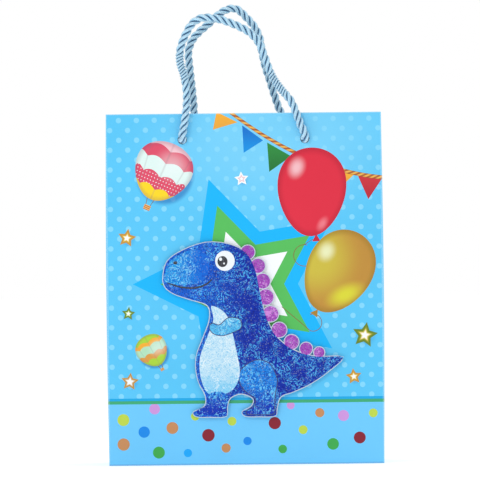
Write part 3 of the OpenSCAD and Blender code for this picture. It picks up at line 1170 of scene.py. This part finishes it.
def relief(name, outlines, level, height, material, bevel=0.06):
    """Raised areas on the card: each outline becomes a closed, bevelled plate that starts level mm in front
    of the card's face and stands height mm proud. Lengths are in millimetres."""
    bm = bmesh.new()
    for outline in outlines:
        rings = []
        for depth, by in ((level, 0.0), (level + height - bevel, 0.0), (level + height, bevel)):
            y = CARD_Y - depth * MM
            ring = inset(outline, by) if by else outline
            rings.append([bm.verts.new((p.x * MM, y, p.y * MM)) for p in ring])
        n = len(outline)
        for a, b in zip(rings, rings[1:]):
            for i in range(n):
                bm.faces.new((a[i], a[(i + 1) % n], b[(i + 1) % n], b[i]))
        bm.faces.new(rings[-1])
        bm.faces.new(rings[0][::-1])
    bmesh.ops.recalc_face_normals(bm, faces=bm.faces)
    bmesh.ops.triangulate(bm, faces=[f for f in bm.faces if len(f.verts) > 4])
    piece = finish_mesh(bm, name, material)
    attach(piece, "front")
    return piece


def drawn_material(name, chip, light, dark, strokes=0.7, glitter=1.0, fade=None):
    """Glitter varnish over a drawn colour. fade is the colour that it turns to, the axis, and from where to
    where in millimetres."""
    material, net = new_material(name)
    tone = srgb(*chip)
    if fade:
        _, x, _, z = net.place()
        other, axis, start, end = fade
        tone = net.mix(net.ramp({"x": x, "z": z}[axis], start, end), tone, srgb(*other))
    drawn = net.group(
        glitter_group(), Colour=tone, Light=srgb(*light), Dark=srgb(*dark), Strokes=strokes, Glitter=glitter)
    net.finish(Base_Color=drawn["Colour"], Roughness=drawn["Roughness"], Metallic=drawn["Metallic"],
               Normal=drawn["Normal"], Specular_IOR_Level=0.15, Coat_Weight=0.1, Coat_Roughness=0.15)
    return material


def plain_gloss(name, chip, roughness):
    """Smooth varnished ink with a faint mottle, as on the eye."""
    material, net = new_material(name)
    vector = net.place()[0]
    tone = net.mix(net.ramp(net.noise(vector, 0.9), 0.4, 0.8, 0.0, 0.12), srgb(*chip), srgb(200, 220, 236))
    rough = net.ramp(net.noise(vector, 3.0, 1.0), 0.3, 0.7, roughness, roughness + 0.12)
    net.finish(Base_Color=tone, Roughness=rough, Coat_Weight=0.5)
    return material


def flake_material():
    """A thin foil flake, silver with a tint that changes from flake to flake."""
    material, net = new_material("glitter_flake")
    tint = net.ramp(net.noise(net.place()[0], 1.3, 1.0), 0.35, 0.65)
    net.finish(Base_Color=net.mix(tint, srgb(60, 130, 220), srgb(190, 218, 245)), Metallic=0.8,
               Roughness=net.ramp(tint, 0.0, 1.0, 0.32, 0.2))
    return material


def flake_tree(material):
    """Scatters small six-sided flakes over a surface, each tilted its own way."""
    tree = bpy.data.node_groups.new("Glitter Flakes", "GeometryNodeTree")
    for label, kind, where in (
            ("Geometry", "NodeSocketGeometry", "INPUT"), ("Density", "NodeSocketFloat", "INPUT"),
            ("Flake Radius", "NodeSocketFloat", "INPUT"), ("Seed", "NodeSocketInt", "INPUT"),
            ("Geometry", "NodeSocketGeometry", "OUTPUT")):
        tree.interface.new_socket(name=label, in_out=where, socket_type=kind)
    net = Net(tree)
    given = net.add("NodeGroupInput").outputs
    seed = given["Seed"]
    points = net.node("GeometryNodeDistributePointsOnFaces", {
        "Mesh": given["Geometry"], "Density": given["Density"], "Seed": seed})
    flake = net.node(
        "GeometryNodeMeshCircle", {"Vertices": 6, "Radius": given["Flake Radius"]}, fill_type="NGON")
    angles = net.node(
        "FunctionNodeRandomValue", {0: (-0.5, -0.5, 0.0), 1: (0.5, 0.5, 1.0), "Seed": seed},
        data_type="FLOAT_VECTOR")[0]
    tilt = net.node("FunctionNodeEulerToRotation", {0: angles})[0]
    turned = net.node(
        "FunctionNodeRotateRotation", {0: points["Rotation"], 1: tilt}, rotation_space="LOCAL")[0]
    size = net.node("FunctionNodeRandomValue", {2: 0.45, 3: 1.0, "Seed": seed}, data_type="FLOAT")[1]
    copies = net.node("GeometryNodeInstanceOnPoints", {
        "Points": points["Points"], "Instance": flake["Mesh"], "Rotation": turned, "Scale": size})[0]
    real = net.node("GeometryNodeRealizeInstances", {0: copies})[0]
    painted = net.node("GeometryNodeSetMaterial", {"Geometry": real, "Material": material})[0]
    net.node("NodeGroupOutput", {0: painted})
    return tree


def scatter_flakes(surface, tree):
    """A plain mesh of flakes just in front of a raised piece."""
    settings = bpy.context.scene.gift_bag_figure
    name = surface.name + "_flakes"
    bm = bmesh.new()
    bm.from_mesh(surface.data)
    bmesh.ops.delete(bm, geom=[f for f in bm.faces if f.normal.y > -LOOKS], context="FACES")
    for vert in bm.verts:
        vert.co.y -= FLAKE_LIFT
    ground = finish_mesh(bm, name + "_ground")
    modifier = ground.modifiers.new("flakes", "NODES")
    modifier.node_group = tree
    values = {"Density": settings.flakes, "Flake Radius": settings.flake_size, "Seed": settings.seed}
    for item in tree.interface.items_tree:
        if item.item_type == "SOCKET" and item.in_out == "INPUT" and item.name in values:
            modifier[item.identifier] = values[item.name]
    evaluated = ground.evaluated_get(bpy.context.evaluated_depsgraph_get())
    made = bpy.data.meshes.new_from_object(evaluated)
    bpy.data.objects.remove(ground)
    piece = add_object(name, made)
    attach(piece, "front")


class GIFTBAG_OT_figure(bpy.types.Operator):
    """Draws the raised card figure with its glitter, and gives the foam pads their finish"""
    bl_idname = "giftbag.figure"
    bl_label = "Card figure"

    def execute(self, context):
        paint_node("figure_card", fibre_material("card_margin", (206, 218, 230), (150, 168, 190), 0.4))
        paint_node("figure_foam_pads", fibre_material("foam", (238, 238, 234), (196, 196, 190), 0.9))
        navy = drawn_material("body_glitter", (10, 96, 212), (84, 190, 250), (2, 22, 120), 0.75, 0.8,
                              ((2, 44, 168), "x", -34, 4))
        light = drawn_material("snout_glitter", (26, 156, 230), (136, 218, 252), (6, 74, 190), 0.8, 0.8,
                               ((8, 104, 216), "x", -50, -24))
        ice = drawn_material("belly_glitter", (204, 232, 246), (250, 254, 255), (92, 190, 232), 0.6, 0.5,
                             ((130, 206, 242), "z", 66, 46))
        leg = drawn_material("leg_glitter", (20, 130, 226), (110, 208, 252), (4, 36, 150), 0.8, 1.0,
                             ((4, 54, 184), "z", 54, 36))
        limb = drawn_material("arm_glitter", (84, 190, 236), (180, 236, 255), (24, 96, 190), 0.7, 0.8)
        plum = drawn_material("plate_glitter", (166, 74, 186), (230, 160, 236), (104, 40, 140), 0.6, 1.0)
        white = plain_gloss("eye_white", (240, 246, 250), 0.2)
        black = plain_gloss("eye_dark", (14, 18, 30), 0.15)
        ink = plain_gloss("outline_ink", (6, 26, 104), 0.35)
        legs = [smooth(NEAR_LEG), smooth(FAR_LEG)]
        plates = [ellipse(x, z, r - MARGIN, r - MARGIN) for x, z, r in PLATES]
        shine = [ellipse(-15.8, 134.6, 1.0, 1.1), ellipse(-13.6, 131.8, 0.6, 0.6)]
        # Name, outlines, level and height in millimetres, material
        plan = [
            ("back_plates", plates, 0.0, 0.12, plum),
            ("body", [inset(smooth(BODY), MARGIN)], 0.0, 0.2, navy),
            ("snout", [smooth(SNOUT)], 0.2, 0.1, light),
            ("belly", [smooth(BELLY)], 0.2, 0.12, ice),
            ("legs", legs, 0.2, 0.16, leg),
            ("leg_outline", [inset(legs[0], -MARGIN)], 0.2, 0.1, ink),
            ("arm_outline", [inset(smooth(ARM), -0.5)], 0.2, 0.2, ink),
            ("arm", [smooth(ARM)], 0.32, 0.18, limb),
            ("smile", [stroke(SMILE, 1.1)], 0.3, 0.1, black),
            ("nostril", [ellipse(-45.5, 132.5, 1.3, 1.0)], 0.3, 0.1, black),
            ("eye", [ellipse(-13, 133.5, 6.4, 6.6)], 0.2, 0.22, white),
            ("pupil", [ellipse(-14.6, 133, 3.3, 3.6)], 0.42, 0.1, black),
            ("eye_shine", shine, 0.52, 0.06, white),
        ]
        made = {}
        for name, outlines, level, height, material in plan:
            made[name] = relief("figure_" + name, outlines, level, height, material)
        tree = flake_tree(flake_material())
        for name in ("body", "legs", "back_plates"):
            scatter_flakes(made[name], tree)
        return {"FINISHED"}


# ---------------------------------------------------------------- stage

FLOOR_HALF = 15.0
KEY_PLACE = (-0.8, -1.5, 1.2)
TOP_PLACE = (0.3, 0.2, 1.9)


def light_table(glow):
    """A wide, pale floor that glows faintly, as a light table does."""
    bm = bmesh.new()
    bmesh.ops.create_grid(bm, x_segments=4, y_segments=4, size=FLOOR_HALF)
    material, net = new_material("studio_floor")
    net.finish(Base_Color=(0.94, 0.94, 0.94, 1), Roughness=0.95, Specular_IOR_Level=0.1,
               Emission_Color=WHITE, Emission_Strength=glow)
    finish_mesh(bm, "studio_floor", material)


def white_room(strength):
    """Even light from all round, in front of a clean white background."""
    world = bpy.data.worlds.new("studio")
    world.use_nodes = True
    net = Net(world.node_tree)
    background = world.node_tree.nodes["Background"]
    net.put(background.inputs["Color"], WHITE)
    seen = net.add("ShaderNodeLightPath").outputs["Is Camera Ray"]
    net.put(background.inputs["Strength"], net.ramp(seen, 0.0, 1.0, strength, 1.0, smooth=False))
    return world


def soft_light(name, place, target, size, power):
    data = bpy.data.lights.new(name, "AREA")
    data.shape = "DISK"
    data.size = size
    data.energy = power
    lamp = add_object(name, data)
    lamp.location = place
    lamp.rotation_euler = (Vector(target) - Vector(place)).to_track_quat("-Z", "Y").to_euler()


class GIFTBAG_OT_stage(bpy.types.Operator):
    """Sets up the floor, the lights and the camera"""
    bl_idname = "giftbag.stage"
    bl_label = "Stage"

    def execute(self, context):
        scene = context.scene
        settings = scene.gift_bag_stage
        light_table(settings.floor_glow)
        middle = (0, 0, BAG_H / 2)
        soft_light("key", KEY_PLACE, middle, 0.5, settings.key_power)
        soft_light("top", TOP_PLACE, middle, 0.8, settings.top_power)
        scene.world = white_room(settings.room_light)
        scene.view_settings.view_transform = "Standard"
        data = bpy.data.cameras.new("camera")
        data.lens = data.sensor_width * settings.distance / settings.view_w
        data.clip_start = 0.01
        camera = add_object("camera", data)
        camera.location = (settings.view_x, FRONT_Y - settings.distance, settings.view_z)
        camera.rotation_euler = Euler((math.pi / 2, settings.roll, 0))
        scene.camera = camera
        return {"FINISHED"}


# ---------------------------------------------------------------- add-on

class GIFTBAG_PT_panel(bpy.types.Panel):
    """Lists the steps and settings of the gift bag"""
    bl_idname = "GIFTBAG_PT_panel"
    bl_label = "Gift Bag"
    bl_space_type = "VIEW_3D"
    bl_region_type = "UI"
    bl_category = "Gift Bag"

    def draw(self, context):
        for group in SETTINGS:
            values = getattr(context.scene, group)
            for key in values.bl_rna.properties.keys():
                if key not in ("rna_type", "name"):
                    self.layout.prop(values, key)
        for step in STEPS:
            self.layout.operator(step.bl_idname)


SETTINGS = {
    "gift_bag_paper": GiftBagPaper, "gift_bag_cord": GiftBagCord, "gift_bag_figure": GiftBagFigure,
    "gift_bag_stage": GiftBagStage,
}
STEPS = (GIFTBAG_OT_stage, GIFTBAG_OT_cords, GIFTBAG_OT_paper, GIFTBAG_OT_figure)


def register():
    for group in SETTINGS.values():
        bpy.utils.register_class(group)
    for step in STEPS:
        bpy.utils.register_class(step)
    bpy.utils.register_class(GIFTBAG_PT_panel)
    for name, group in SETTINGS.items():
        setattr(bpy.types.Scene, name, PointerProperty(type=group))


def unregister():
    for name in SETTINGS:
        delattr(bpy.types.Scene, name)
    for item in (GIFTBAG_PT_panel, *STEPS, *SETTINGS.values()):
        bpy.utils.unregister_class(item)


def main():
    register()
    bpy.ops.giftbag.stage()
    bpy.ops.giftbag.cords()
    bpy.ops.giftbag.paper()
    bpy.ops.giftbag.figure()


if __name__ == "__main__":
    main()
